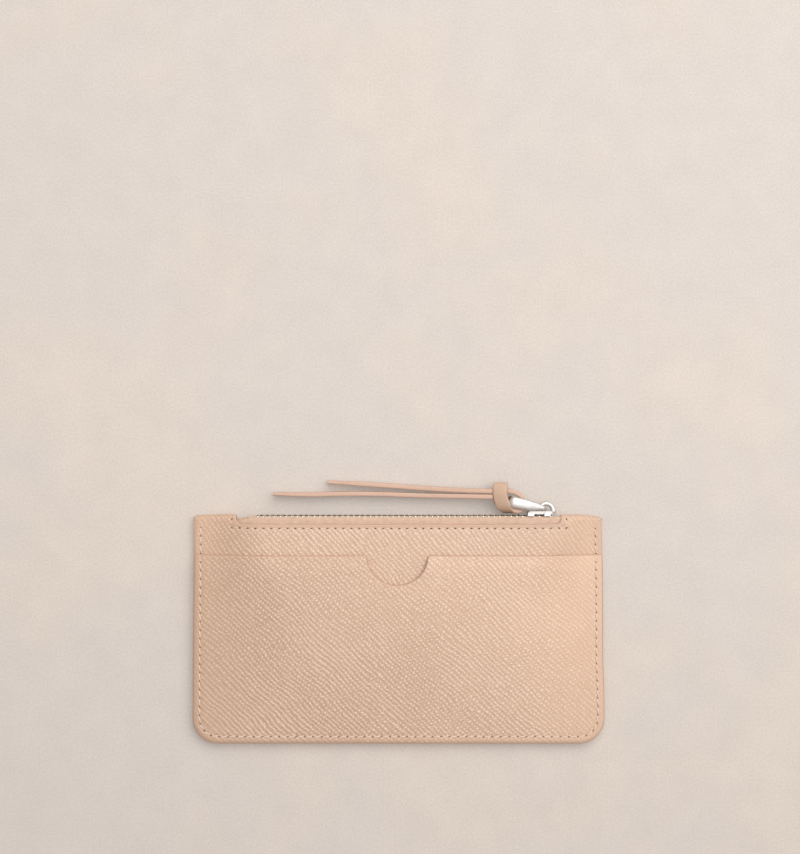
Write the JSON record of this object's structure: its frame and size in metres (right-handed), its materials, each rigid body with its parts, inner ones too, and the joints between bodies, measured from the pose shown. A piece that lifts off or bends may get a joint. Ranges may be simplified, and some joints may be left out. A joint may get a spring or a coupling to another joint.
{
  "type": "zippered pouch",
  "caption": "Slim leather pouch with a zip in its top fold, a front slip pocket with a thumb notch, and a leather lace on the zip pull.",
  "frame": {"origin": "middle of the flat back face the pouch lies on", "axes": "+X along the zip to its closed end, +Y from the bottom seam to the zip, +Z out of the front"},
  "size_m": [0.15, 0.0961, 0.0102],
  "materials": {
    "grained_leather": "pebble grained, semi matte",
    "lace_leather": "smooth, semi matte",
    "lining_fabric": "matte",
    "zip_tape": "woven, matte",
    "nickel": "polished",
    "thread": "waxed"
  },
  "bodies": {
    "pouch": {"outer_shell": "grained_leather", "card_pocket": "grained_leather", "lining": "lining_fabric", "zip_tape_front": "zip_tape", "zip_tape_back": "zip_tape", "zip_teeth_front": "nickel", "zip_teeth_back": "nickel", "top_stop_front": "nickel", "top_stop_back": "nickel", "bottom_stop": "nickel", "seam_stitching_front": "thread", "seam_stitching_back": "thread", "zip_stitching_front": "thread", "zip_stitching_back": "thread"},
    "slider": {"slider_body": "nickel", "slider_crown": "nickel"},
    "pull": {"pull_tab": "nickel"},
    "lace": {"lace_hitch": "lace_leather", "lace_tail_upper": "lace_leather", "lace_tail_lower": "lace_leather"}
  },
  "joints": [
    {"name": "zip_slide", "type": "slide", "parent": "pouch", "child": "slider", "axis": [1, 0, 0], "range_m": [-0.098, 0], "deforming": ["zip_teeth_front", "zip_teeth_back"]},
    {"name": "pull_swing", "type": "hinge", "parent": "slider", "child": "pull", "pos_m": [0.0533, 0.0443, 0.0045], "axis": [0, 0, 1], "range_deg": [-145, 1]},
    {"name": "lace_swing", "type": "hinge", "parent": "pull", "child": "lace", "pos_m": [0.0432, 0.0466, 0.0045], "axis": [0, 0, 1], "range_deg": [-15, 1]}
  ]
}
